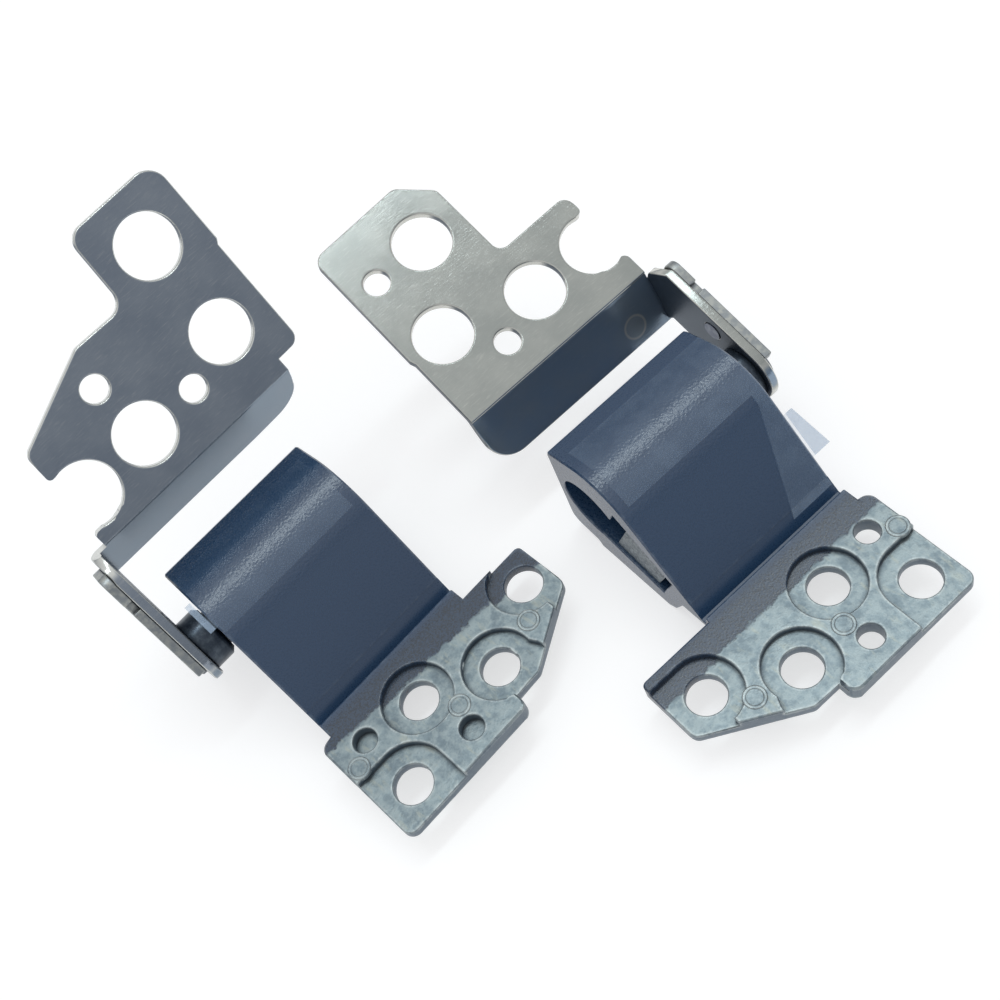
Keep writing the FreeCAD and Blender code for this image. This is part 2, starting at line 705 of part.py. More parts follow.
def hinge_shaft(hand):
    body = new_body(NAMES[hand] + "_hinge_shaft")
    profile = new_sketch(body, "shaft_half_section", "XY_Plane")
    add_polygon(profile, [(across(hand, along), radius) for along, radius in shaft_profile()])
    turned = body.newObject("PartDesign::Revolution", "turned_shaft")
    turned.Profile = profile
    turned.ReferenceAxis = (profile, ["H_Axis"])
    turned.Angle = 360
    body.Tip = turned
    doc.recompute()
    ear_out = f"{size('ear_inner_along')} - {size('sheet')}"
    start, length = start_and_length(hand, ear_out, size("ear_inner_along"))
    spigot = new_sketch(body, "spigot_section", "YZ_Plane", start)
    add_spigot_section(spigot, "0")
    grow(body, "spigot", spigot, length)
    body.Placement = placement(hand, raised=True)
    return body


# Display bracket
def bend_section():
    """The bend and the strip below it, as (out, height) corners."""
    turn = size("strip_angle")
    top, under = size("leaf_top"), f"{size('leaf_top')} - {size('sheet')}"
    bend, width, sheet = size("bend_out"), size("strip_width"), size("sheet")
    inner_bend = f"{bend} + {sheet} * tan({turn} / 2)"
    return [
        (f"{bend} + {size('bend_overlap')}", top), (bend, top),
        (f"{bend} - {width} * cos({turn})", f"{top} - {width} * sin({turn})"),
        (f"{bend} - {width} * cos({turn}) + {sheet} * sin({turn})",
         f"{top} - {width} * sin({turn}) - {sheet} * cos({turn})"),
        (inner_bend, under), (f"{bend} + {size('bend_overlap')}", under),
    ]


def add_strip(body, hand):
    side = NAMES[hand]
    ear_out = f"{size('ear_inner_along')} - {size('sheet')}"
    start, length = start_and_length(hand, ear_out, size(side + "_strip_far_end"))
    section = new_sketch(body, "strip_section", "YZ_Plane", start)
    corners = bend_section()
    add_polygon(section, corners)
    grow(body, "strip", section, length)
    outer, inner = [(value(u), value(v)) for u, v in (corners[1], corners[4])]
    round_edges(body, "bend_outer_rounding", size("bend_outer_round"),
                lambda edge: runs_at(edge, 0, [outer]))
    round_edges(body, "bend_inner_rounding", size("bend_inner_round"),
                lambda edge: runs_at(edge, 0, [inner]))
    far = value(across(hand, size(side + "_strip_far_end")))
    foot = [FreeCAD.Vector(far, value(u), value(v)) for u, v in corners[2:4]]

    def far_corner(edge):
        ends = [vertex.Point for vertex in edge.Vertexes]
        return len(ends) == 2 and all(min(end.distanceToPoint(place) for place in foot) < TOLERANCE
                                      for end in ends)

    round_edges(body, "strip_corner_rounding", size("strip_corner_round"), far_corner)
    relief = new_sketch(body, "ear_relief_plan", "XY_Plane", f"{size('leaf_top')} + 1")
    tab = size(side + "_leaf_tab_foot_along")
    past_bend = f"{size('bend_out')} + {size('bend_overlap')} + 1"
    add_polygon(relief, [(across(hand, along), out) for along, out in (
        (f"{ear_out} - 1", size("ear_corner_out")), (tab, size("ear_corner_out")),
        (tab, past_bend), (f"{ear_out} - 1", past_bend))])
    cut(body, "ear_relief", relief, f"{size('strip_width')} + 1")


def add_ear(body, hand):
    ear_out = f"{size('ear_inner_along')} - {size('sheet')}"
    start, length = start_and_length(hand, ear_out, size("ear_inner_along"))
    corners = bend_section()
    foot_out, foot_height = corners[3]
    under_corner = f"{foot_height} + ({size('ear_corner_out')} - ({foot_out})) * tan({size('strip_angle')})"
    top = f"{size('ear_rise')} + {size('ear_radius')}"
    foot = f"{size('ear_rise')} - {size('ear_radius')}"
    plate = new_sketch(body, "ear_section", "YZ_Plane", start)
    add_polygon(plate, [
        ("0", top), (size("ear_top_out"), top),
        (size("ear_corner_out"), size("ear_corner_height")), (size("ear_corner_out"), under_corner), corners[3],
        (size("ear_foot_out"), foot), ("0", foot)])
    grow(body, "ear", plate, length)
    end = new_sketch(body, "ear_end_section", "YZ_Plane", start)
    add_circle(end, "0", size("ear_rise"), size("ear_radius"))
    grow(body, "ear_end", end, length)
    outside = value(across(hand, ear_out))
    heel = [FreeCAD.Vector(outside, value(u), value(v))
            for u, v in (corners[3], (size("ear_corner_out"), under_corner))]

    def ear_bend(edge):
        ends = [vertex.Point for vertex in edge.Vertexes]
        return len(ends) == 2 and all(min(end.distanceToPoint(place) for place in heel) < TOLERANCE
                                      for end in ends)

    round_edges(body, "ear_bend_rounding", size("ear_bend_round"), ear_bend)
    hole = new_sketch(body, "spigot_hole_section", "YZ_Plane", start)
    add_spigot_section(hole, "0")
    cut(body, "spigot_hole", hole, length, backwards=True)
    seat = new_sketch(body, "rivet_hole_section", "YZ_Plane", start)
    add_circle(seat, size("rivet_out"), size("rivet_height"), size("rivet_radius"))
    cut(body, "rivet_hole", seat, length, backwards=True)


def add_leaf(body, hand):
    side = NAMES[hand]
    plan = new_sketch(body, "leaf_plan", "XY_Plane", size("leaf_top"))
    points = [(across(hand, size(f"{side}_leaf_{name}_along")), size(f"{side}_leaf_{name}_out"))
              for name, *_ in LEAF_OUTLINE[hand]]
    add_polygon(plan, points)
    grow(body, "leaf", plan, size("sheet"), backwards=True)
    for name, _, _, rounding in LEAF_OUTLINE[hand]:
        if rounding:
            place = (value(across(hand, size(f"{side}_leaf_{name}_along"))),
                     value(size(f"{side}_leaf_{name}_out")))
            round_edges(body, f"leaf_{name}_rounding", size(f"{side}_leaf_{name}_round"),
                        lambda edge: runs_at(edge, 2, [place]))
    notch = new_sketch(body, "notch_plan", "XY_Plane", size("leaf_top"))
    add_circle(notch, across(hand, size(side + "_notch_along")), size(side + "_notch_out"),
               size(side + "_notch_radius"))
    cut(body, "notch", notch, size("sheet"))
    holes = new_sketch(body, "leaf_holes_plan", "XY_Plane", size("leaf_top"))
    for kind in ("big", "small"):
        for name, *_ in LEAF_HOLES[hand][kind]:
            add_circle(holes, across(hand, size(f"{side}_{kind}_hole_{name}_along")),
                       size(f"{side}_{kind}_hole_{name}_out"), size(kind + "_hole_radius"))
    cut(body, "leaf_holes", holes, size("sheet"))


def display_bracket(hand):
    body = new_body(NAMES[hand] + "_display_bracket")
    add_strip(body, hand)
    add_leaf(body, hand)
    add_ear(body, hand)
    body.Placement = placement(hand, raised=True)
    return body


# Ear doubler and rivet
def ear_doubler(hand):
    body = new_body(NAMES[hand] + "_ear_doubler")
    ear_out = f"{size('ear_inner_along')} - {size('sheet')}"
    low = f"{ear_out} - {size('doubler_thickness')}"
    start, length = start_and_length(hand, low, ear_out)
    near, far, top, foot = (size("doubler_" + name) for name in ("near", "far", "top", "foot"))
    section = new_sketch(body, "doubler_section", "YZ_Plane", start)
    add_polygon(section, [(near, top), (far, top), (far, "0"), (f"{far} + {foot}", foot), (near, foot)])
    grow(body, "plate", section, length)
    places = [(value(far), value(top)), (value(far), 0.0), (value(f"{far} + {foot}"), value(foot))]
    round_edges(body, "corner_rounding", size("doubler_round"), lambda edge: runs_at(edge, 0, places))
    recess = new_sketch(body, "head_recess_section", "YZ_Plane", start)
    add_circle(recess, "0", "0", size("doubler_recess"))
    cut(body, "head_recess", recess, length, backwards=True)
    open_side = new_sketch(body, "recess_mouth_section", "YZ_Plane", start)
    add_polygon(open_side, [
        (f"{near} - 1", size("doubler_recess")), ("0", size("doubler_recess")),
        ("0", f"-{size('doubler_recess')}"), (f"{near} - 1", f"-{size('doubler_recess')}")])
    cut(body, "recess_mouth", open_side, length, backwards=True)
    nick = new_sketch(body, "nick_section", "YZ_Plane", start)
    place, width = size("doubler_nick_out"), size("doubler_nick_width")
    add_polygon(nick, [
        (place, f"{top} + 1"), (f"{place} + {width}", f"{top} + 1"),
        (f"{place} + {width}", f"{top} - {size('doubler_nick_depth')}"),
        (place, f"{top} - {size('doubler_nick_depth')}")])
    cut(body, "nick", nick, length, backwards=True)
    seat = new_sketch(body, "rivet_hole_section", "YZ_Plane", start)
    add_circle(seat, size("rivet_out"), size("rivet_height"), size("rivet_radius"))
    cut(body, "rivet_hole", seat, length, backwards=True)
    body.Placement = placement(hand, raised=True)
    return body


def ear_rivet(hand):
    body = new_body(NAMES[hand] + "_ear_rivet")
    low = f"{size('ear_inner_along')} - {size('sheet')} - {size('doubler_thickness')}"
    high = f"{size('ear_inner_along')} + {size('rivet_proud')}"
    start, length = start_and_length(hand, low, high)
    section = new_sketch(body, "rivet_section", "YZ_Plane", start)
    add_circle(section, size("rivet_out"), size("rivet_height"), size("rivet_radius"))
    grow(body, "rivet", section, length)
    body.Placement = placement(hand, raised=True)
    return body


# Protective film
def unit(vector):
    length = math.hypot(vector[0], vector[1])
    return (vector[0] / length, vector[1] / length)


def barrel_crest():
    """The rounded crest in section: its centre, where it starts and how far it turns, and the two flanks."""
    nose = (value(size("nose_y")), value(size("nose_top")))
    top = (value(size("crest_y")), value(size("crest_top")))
    foot = (value(size("face_foot_y")), value(size("face_foot")))
    radius = value(size("crest_round"))
    rise, fall = unit((top[0] - nose[0], top[1] - nose[1])), unit((foot[0] - top[0], foot[1] - top[1]))
    turn = math.acos(rise[0] * fall[0] + rise[1] * fall[1])
    setback = radius * math.tan(turn / 2)
    centre = (top[0] - rise[0] * setback - rise[1] * radius, top[1] - rise[1] * setback + rise[0] * radius)
    return centre, math.atan2(-rise[0], rise[1]), turn, rise, fall


def on_crest(share, lift, along=0.0):
    """A point of the crest: share runs from 0 at the nose flank to 1 at the flat face."""
    centre, begin, turn, _, _ = barrel_crest()
    angle = begin + share * turn
    reach = value(size("crest_round")) + lift
    return FreeCAD.Vector(along, centre[0] + reach * math.cos(angle), centre[1] + reach * math.sin(angle))


def crest_film(low, high, begin, end):
    """Film over a share of the crest, as a thin closed solid between two places along the axis."""
    lift, middle = value(size("film_thickness")), (begin + end) / 2
    under = [on_crest(share, 0.0, low) for share in (begin, middle, end)]
    over = [on_crest(share, lift, low) for share in (begin, middle, end)]
    edges = [Part.Arc(*under).toShape(), Part.LineSegment(under[2], over[2]).toShape(),
             Part.Arc(*reversed(over)).toShape(), Part.LineSegment(over[0], under[0]).toShape()]
    return Part.Face(Part.Wire(edges)).extrude(FreeCAD.Vector(high - low, 0, 0))


def flank_film(corners, share, direction):
    """Flat film beside the crest: corners are (along, distance from the crest) pairs."""
    start, raised = on_crest(share, 0.0), on_crest(share, value(size("film_thickness")))
    step = FreeCAD.Vector(0, direction[0], direction[1])
    points = [start + FreeCAD.Vector(along, 0, 0) + step * distance for along, distance in corners]
    return Part.Face(Part.makePolygon(points + points[:1])).extrude(raised - start)


def tab_film(hand, ear_end, face):
    """The end of the film that stands out past the barrel: a pull tab, or a sliver of the crest's film."""
    if hand == RIGHT:
        start, end = value(size("film_tab_start")), value(size("film_tab_end"))
        return flank_film([(hand * ear_end, start),
                           (hand * (ear_end - value(size("film_tab_start_reach"))), start),
                           (hand * (ear_end - value(size("film_tab_end_reach"))), end),
                           (hand * ear_end, end)], 1.0, face)
    low, high = sorted((hand * ear_end, hand * (ear_end - value(size("film_sliver_reach")))))
    return crest_film(low, high, value(size("film_sliver_start")), value(size("film_sliver_end")))


def protective_film(hand):
    """Film over the crest, down the nose, and in a slanting band on the ear end of the flat face."""
    ear_end = value(size("barrel_ear_end")) + value(size("film_ear_inset"))
    far_end = value(size("barrel_far_end")) - value(size("film_far_inset"))
    _, _, _, rise, face = barrel_crest()
    low, high = sorted((hand * ear_end, hand * far_end))
    nose = value(size("film_nose_length"))
    pieces = [flank_film([(low, 0.0), (high, 0.0), (high, nose), (low, nose)], 0.0, (-rise[0], -rise[1])),
              tab_film(hand, ear_end, face)]
    if hand == RIGHT:
        band, foot = value(size("film_band_width")), value(size("film_band_foot_width"))
        length = value(size("film_band_length"))
        edge_low, edge_high = sorted((hand * ear_end, hand * (ear_end + band)))
        pieces.append(crest_film(edge_low, edge_high, value(size("film_crest_share")), 1.0))
        pieces.append(flank_film([(hand * ear_end, 0.0), (hand * (ear_end + band), 0.0),
                                  (hand * (ear_end + foot), length), (hand * ear_end, length)], 1.0, face))
    film = doc.addObject("Part::Feature", NAMES[hand] + "_protective_film")
    film.Label = NAMES[hand] + "_protective_film"
    film.Shape = crest_film(low, high, 0.0, value(size("film_crest_share"))).fuse(pieces).removeSplitter()
    film.Placement = placement(hand)
    return film


# The pair
def build_hinge(hand):
    nodes = [base_casting(hand), display_bracket(hand), ear_doubler(hand), ear_rivet(hand),
             hinge_shaft(hand), slot_key(hand), protective_film(hand)]
    for number in range(1, int(value(size("clip_count"))) + 1):
        nodes.append(friction_clip(hand, number))
    return nodes


def check(nodes):
    for item in doc.Objects:
        if "Invalid" in item.State or "Error" in item.State:
            raise RuntimeError(f"{item.Label} did not build: {item.State}")
    for node in nodes:
        if node.Shape.isNull() or not node.Shape.isValid():
            raise RuntimeError(f"{node.Label} has no valid shape")
        if len(node.Shape.Solids) != 1:
            raise RuntimeError(f"{node.Label} has {len(node.Shape.Solids)} solids")


def export(nodes):
    os.makedirs("parts", exist_ok=True)
    for node in nodes:
        node.Shape.exportStep(f"parts/{node.Label}.step")


def box_of(nodes):
    return Part.makeCompound([node.Shape for node in nodes]).optimalBoundingBox(False)


def centre(nodes):
    """Move the pair so that the middle of its box's underside is the origin."""
    box = box_of(nodes)
    shift = FreeCAD.Vector(-box.Center.x, -box.Center.y, -box.ZMin)
    for node in nodes:
        placed = node.Placement
        placed.Base = placed.Base.add(shift)
        node.Placement = placed


pair = build_hinge(LEFT) + build_hinge(RIGHT)
doc.recompute()
centre(pair)
doc.recompute()
check(pair)
export(pair)
whole = box_of(pair)
print(f"{len(pair)} pieces, box X {whole.XMin:.3f} {whole.XMax:.3f} Y {whole.YMin:.3f} {whole.YMax:.3f} "
      f"Z {whole.ZMin:.3f} {whole.ZMax:.3f}")
for casting in (pair[0], pair[len(pair) // 2]):
    print(casting.Label, "axis at", [round(place, 4) for place in casting.Placement.Base])
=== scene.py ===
# %% [markdown]
# A left and a right laptop hinge lie side by side on a white table. The packed model holds every
# solid piece at its real size, in metres, with +Z up. It is loaded first and stays fixed, and
# everything in this lesson is laid over it: the camera, the light, the finish of each metal, the
# softened edges and the small moulded marks.
# %% Load the packed hinges
import json
import math

import bmesh
import bpy
from mathutils import Euler, Matrix, Vector


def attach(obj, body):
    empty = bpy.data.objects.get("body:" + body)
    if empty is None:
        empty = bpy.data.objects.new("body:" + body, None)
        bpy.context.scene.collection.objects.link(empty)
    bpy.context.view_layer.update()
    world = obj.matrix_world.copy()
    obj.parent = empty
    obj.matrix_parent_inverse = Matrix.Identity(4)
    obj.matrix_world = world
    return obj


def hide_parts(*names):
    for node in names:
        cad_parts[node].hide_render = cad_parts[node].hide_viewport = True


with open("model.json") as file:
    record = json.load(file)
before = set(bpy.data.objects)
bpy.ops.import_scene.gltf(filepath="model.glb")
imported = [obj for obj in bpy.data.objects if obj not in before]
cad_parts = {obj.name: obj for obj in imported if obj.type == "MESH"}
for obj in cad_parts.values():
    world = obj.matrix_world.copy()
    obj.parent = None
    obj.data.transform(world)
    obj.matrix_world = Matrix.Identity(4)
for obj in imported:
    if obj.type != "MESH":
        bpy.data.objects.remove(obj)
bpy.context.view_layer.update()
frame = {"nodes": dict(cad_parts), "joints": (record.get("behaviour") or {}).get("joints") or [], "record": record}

MM = 0.001
nodes = frame["nodes"]

# %% [markdown]
# Each hinge has a frame of its own. Its origin is on the hinge axis, X runs along the axis, Y
# points from the screw flange to the display leaf, and Z points up. The display side is turned up
# about X. All patterns and small details are placed in these frames, so they follow the parts. The
# two hinges are mirrored, so a distance along the axis is counted away from the ear on both.
# %% Frames of the two hinges
SIDES = ("left", "right")
LIFT = {"left": math.radians(59.7), "right": math.radians(20.7)}
HAND = {"left": 1, "right": -1}
JOINTS = {joint["name"]: joint for joint in frame["joints"]}
PLACE, YAW = {}, {}
for side in SIDES:
    joint = JOINTS[side + "_display_turn"]
    PLACE[side] = Vector(joint["pos_m"])
    YAW[side] = math.atan2(joint["axis"][1], joint["axis"][0])
YAW["right"] = (YAW["right"] + math.pi / 2) % math.pi - math.pi / 2


def hinge_matrix(side):
    """Turns the hinge's own frame, in metres, into the row frame."""
    return Matrix.Translation(PLACE[side]) @ Euler((0.0, 0.0, YAW[side])).to_matrix().to_4x4()


def spot(side, along, y, z):
    """A place in the hinge's own frame, from millimetres; along is counted away from the ear."""
    return Vector((HAND[side] * along, y, z)) * MM


print("axes at", {side: tuple(round(v / MM, 2) for v in PLACE[side]) for side in SIDES})

# %% [markdown]
# The photograph looks down on the hinges from the side of the screw flanges. Its viewpoint was
# found by matching the screw holes, the ends of the barrels and the outlines of the leaves. The
# camera is set by its place, counted from the left hinge's axis, and by the directions of its own
# axes.
# %% Camera
CAMERA_FROM_AXIS = Vector((-6.425, -65.93, 88.183)) * MM
CAMERA_RIGHT = Vector((0.6809, -0.6852, -0.2587))
CAMERA_UP = Vector((0.7025, 0.5110, 0.4954))
SENSOR = 36.0
FOCAL_SHARE = 1.35595
NEAREST = 5 * MM


def show(name, data):
    """Make an object of a mesh, a lamp or a camera, and put it in the scene."""
    shown = bpy.data.objects.new(name, data)
    bpy.context.scene.collection.objects.link(shown)
    return shown


view = bpy.data.cameras.new("photo_view")
view.sensor_width = SENSOR
view.lens = FOCAL_SHARE * SENSOR
view.clip_start = NEAREST
camera = show("photo_view", view)
right_axis = CAMERA_RIGHT.normalized()
back_axis = right_axis.cross(CAMERA_UP).normalized()
up_axis = back_axis.cross(right_axis)
axes = Matrix((right_axis, up_axis, back_axis)).transposed().to_4x4()
camera.matrix_world = Matrix.Translation(PLACE["left"] + CAMERA_FROM_AXIS) @ axes
bpy.context.scene.camera = camera
bpy.context.scene.view_settings.view_transform = "Standard"
print("camera at", tuple(round(v / MM, 1) for v in camera.matrix_world.translation))

# %% [markdown]
# Materials are small node trees. They could be wired by hand in the shader editor. Here a recipe
# adds one node at a time and joins it up, so a finish reads as a list of steps. Colours are
# written with the usual 0 to 255 values and turned into the linear values that the shaders use.
# %% Recipes for node trees
WHITE = (1.0, 1.0, 1.0, 1.0)


def colour(red, green, blue):
    """A colour as the shaders want it, from its usual 0 to 255 values."""
    def linear(value):
        share = value / 255.0
        return share / 12.92 if share <= 0.04045 else ((share + 0.055) / 1.055) ** 2.4
    return (linear(red), linear(green), linear(blue), 1.0)


class Recipe:
    """A material whose nodes are added one by one."""

    def __init__(self, name):
        self.material = bpy.data.materials.new(name)
        self.material.use_nodes = True
        self.tree = self.material.node_tree
        self.shader = self.tree.nodes["Principled BSDF"]

    def add(self, kind, inputs=None, **settings):
        node = self.tree.nodes.new(kind)
        for key, setting in settings.items():
            setattr(node, key, setting)
        for key, source in (inputs or {}).items():
            self.join(source, node.inputs[key])
        return node

    def join(self, source, target):
        if isinstance(source, bpy.types.NodeSocket):
            self.tree.links.new(source, target)
        else:
            target.default_value = source

    def set(self, **inputs):
        for key, source in inputs.items():
            self.join(source, self.shader.inputs[key.replace("_", " ")])

    def math(self, operation, first, second=0.0):
        return self.add("ShaderNodeMath", {0: first, 1: second}, operation=operation).outputs[0]

    def chain(self, operation, first, others):
        for other in others:
            first = self.math(operation, first, other)
        return first

    def times(self, first, *others):
        return self.chain("MULTIPLY", first, others)

    def plus(self, first, *others):
        return self.chain("ADD", first, others)

    def larger(self, first, *others):
        return self.chain("MAXIMUM", first, others)

    def span(self, value, low, high, out_low=0.0, out_high=1.0):
        """Follow a value smoothly from one limit to the other."""
        return self.add("ShaderNodeMapRange", {"Value": value, "From Min": low, "From Max": high,
                                               "To Min": out_low, "To Max": out_high},
                        interpolation_type="SMOOTHSTEP").outputs[0]

    def mix(self, share, first, second):
        """The first colour where the share is 0, the second where it is 1."""
        node = self.add("ShaderNodeMix", data_type="RGBA")
        for index, source in ((0, share), (6, first), (7, second)):
            self.join(source, node.inputs[index])
        return node.outputs[2]


print("white is", colour(255, 255, 255))

# %% [markdown]
# A finish is a recipe with patterns on it. A pattern reads the place or the direction of the
# surface, in metres, and it keeps to its part when the hinge turns. On the castings, brackets and
# films both are first turned into the hinge's own frame. The small pieces share their finishes, so
# there they stay in the row frame. Noise gives clouds and grain. Ambient occlusion finds inside
# corners, which get painted shade, and outer rims, which get a painted highlight and, on the paint,
# a little wear.
# %% Patterns for the finishes
OCCLUSION_SAMPLES = 6


class Finish(Recipe):
    """A recipe with patterns that lie in the frame of one hinge, or in the row frame."""

    def __init__(self, name, side=None, raised=False):
        super().__init__(name)
        coordinates = self.add("ShaderNodeTexCoord").outputs
        self.place, self.normal = coordinates["Object"], coordinates["Normal"]
        if side:
            turn = (LIFT[side] if raised else 0.0, 0.0, YAW[side])
            self.place = self.undo(self.place, turn, PLACE[side])
            self.normal = self.undo(self.normal, turn, (0.0, 0.0, 0.0))

    def undo(self, vector, turn, shift):
        """Take a turn and a shift off a vector."""
        inputs = {"Vector": vector, "Location": shift, "Rotation": turn}
        return self.add("ShaderNodeMapping", inputs, vector_type="TEXTURE").outputs[0]

    def noise(self, grain, detail, rough, stretch=None):
        """Noise whose blotches are about as wide as the grain, in millimetres."""
        where = self.place
        if stretch:
            where = self.add("ShaderNodeMapping", {"Vector": where, "Scale": stretch}).outputs[0]
        return self.add("ShaderNodeTexNoise", {"Vector": where, "Scale": 1.0 / (grain * MM),
                                               "Detail": detail, "Roughness": rough}).outputs[0]

    def parts(self, vector):
        return self.add("ShaderNodeSeparateXYZ", {0: vector}).outputs

    def size(self, value):
        return self.math("ABSOLUTE", value)

    def distance(self, centre):
        """How far the surface is from a place in the hinge's own frame."""
        return self.add("ShaderNodeVectorMath", {0: self.place, 1: centre},
                        operation="DISTANCE").outputs["Value"]

    def room(self, reach, **settings):
        """1 in the open, less in inside corners, as far out as the reach in millimetres."""
        return self.add("ShaderNodeAmbientOcclusion", {"Distance": reach * MM},
                        samples=OCCLUSION_SAMPLES, **settings).outputs["AO"]

    def inner_room(self, reach):
        """1 where the metal under the surface is thick, less along outer edges."""
        return self.room(reach, inside=True, only_local=True)

    def shade_corners(self, base, unshaded, share, shade):
        """Painted shade: keep the base where the corner mask is 1, and mix a share of it towards a dark tone
        elsewhere.
        """
        return self.mix(unshaded, self.mix(share, base, shade), base)

    def bump(self, height, depth):
        """Raise the surface by the height, where 1 is the depth in millimetres."""
        return self.add("ShaderNodeBump", {"Height": height, "Strength": 1.0,
                                           "Distance": depth * MM}).outputs[0]


print("patterns:", [name for name in vars(Finish) if not name.startswith("_")])

# %% [markdown] The hinges lie on a plain white table. Rays that look at the table, straight or
# in a reflection, see grey paint with a glow that brings it up to white, and the shadows of the
# hinges still fall on it. Light that bounces from the table up to the metal meets plain white
# paint. %% Table
TABLE_REACH = 1.5
TABLE_GLOW = 0.62
TABLE_WHITE = colour(250, 250, 251)
TABLE_SEEN = (0.48, 0.48, 0.485, 1.0)
TABLE_ROUGHNESS = 0.9


def table_paint():
    paint = Recipe("white_table")
    ray = paint.add("ShaderNodeLightPath").outputs
    seen = paint.larger(ray["Is Camera Ray"], ray["Is Glossy Ray"], ray["Is Transmission Ray"])
    paint.set(Base_Color=paint.mix(seen, TABLE_WHITE, TABLE_SEEN), Roughness=TABLE_ROUGHNESS,
              Specular_IOR_Level=0.0)
    paint.set(Emission_Color=WHITE, Emission_Strength=paint.times(seen, TABLE_GLOW))
    return paint.material


board = bmesh.new()
bmesh.ops.create_grid(board, x_segments=1, y_segments=1, size=TABLE_REACH)
mesh = bpy.data.meshes.new("table")
board.to_mesh(mesh)
board.free()
mesh.materials.append(table_paint())
table = show("table", mesh)
print("table:", tuple(round(v, 2) for v in table.dimensions))

# %% [markdown]
# Most of the light comes from the world itself. It runs from a dim, slightly blue horizon to a
# bright top, so each plane of the bent metal gets its own tone, and every side of the model is lit
# softly. The camera sees plain white there.
# %% World
WORLD_LOW = (0.235, 0.262, 0.298, 1.0)
WORLD_HIGH = WHITE
WORLD_STRENGTH = 0.95


def add_world():
    world = bpy.data.worlds.new("studio")
    bpy.context.scene.world = world
    world.use_nodes = True
    tree = world.node_tree
    tree.nodes.clear()
    place, parts, rise, ramp, ray, sky, white, choose, out = (tree.nodes.new(kind) for kind in (
        "ShaderNodeTexCoord", "ShaderNodeSeparateXYZ", "ShaderNodeMapRange", "ShaderNodeMix",
        "ShaderNodeLightPath", "ShaderNodeBackground", "ShaderNodeBackground",
        "ShaderNodeMixShader", "ShaderNodeOutputWorld"))
    ramp.data_type = "RGBA"
    ramp.inputs[6].default_value = WORLD_LOW
    ramp.inputs[7].default_value = WORLD_HIGH
    sky.inputs["Strength"].default_value = WORLD_STRENGTH
    white.inputs["Color"].default_value = WHITE
    for source, target in ((place.outputs["Generated"], parts.inputs[0]),
                           (parts.outputs["Z"], rise.inputs["Value"]),
                           (rise.outputs[0], ramp.inputs[0]),
                           (ramp.outputs[2], sky.inputs["Color"]),
                           (ray.outputs["Is Camera Ray"], choose.inputs[0]),
                           (sky.outputs[0], choose.inputs[1]), (white.outputs[0], choose.inputs[2]),
                           (choose.outputs[0], out.inputs["Surface"])):
        tree.links.new(source, target)
    return world


print("world nodes:", len(add_world().node_tree.nodes))

# %% [markdown]
# A long soft panel hangs almost straight above, and its light shows in the photograph as a grainy
# streak along the top of each barrel. Its place was worked out from that streak: the light leaves
# the barrel towards the camera, so the panel lies in the mirrored direction. It is far enough to
# the back that the flat right leaf doesn't mirror it.
# %% Ceiling panel
PANEL_PLACE = Vector((0.17, 0.195, 1.0))
PANEL_SIZE = (0.72, 0.11)
PANEL_POWER = 2.2
PANEL_TINT = (0.86, 0.97, 1.0)

lamp = bpy.data.lights.new("ceiling_panel", "AREA")
lamp.shape = "RECTANGLE"
lamp.size, lamp.size_y = PANEL_SIZE
lamp.energy = PANEL_POWER
lamp.color = PANEL_TINT
panel = show("ceiling_panel", lamp)
panel.location = PANEL_PLACE
print("panel at", tuple(round(v, 2) for v in panel.location))

# %% [markdown]
# The castings are zinc, and most of the screw flange is bare. Bare die casting is cloudy: it cools
# in patches, and dull oxide and pale flow lines lie over them. One noise makes the wide blotches,
# one the clouds and one the flow lines, each of its own width. Upright walls get painted shade, and
# outer rims get a painted highlight.
# %% Bare zinc
BARE = colour(132, 146, 151)
BARE_LIGHT = colour(156, 167, 168)
BARE_DARK = colour(96, 111, 120)
BARE_WARM = colour(164, 167, 155)
BARE_RIM_GLINT = colour(190, 197, 196)
WALL_SHADE = colour(74, 89, 106)
WALL_SHADE_SHARE = 0.75
CLOUD = {"grain": 0.7, "detail": 5.0, "rough": 0.65}
GRAIN = {"grain": 0.13, "detail": 2.0, "rough": 0.6}
BLOTCH = {"grain": 2.2, "detail": 3.0, "rough": 0.5}
FLOW = {"grain": 0.6, "detail": 3.0, "rough": 0.6, "stretch": (1.0, 0.28, 1.0)}
# Each span: where a pattern starts and stops to count, and how much it counts at those two ends,
# which is 0 and 1 where it isn't given.
BLOTCH_SPAN = (0.30, 0.62, 0.35, 1.0)
LIGHT_SPAN = (0.42, 0.60, 0.0, 0.5)
DARK_SPAN = (0.47, 0.34, 0.0, 0.45)
FLOW_SPAN = (0.55, 0.72, 0.0, 0.5)
SPECK_SPAN = (0.58, 0.74, 0.0, 0.45)
UPRIGHT_SPAN = (0.75, 0.35)
BARE_GLINT_SPAN = (0.38, 0.58, 0.25, 0.85)


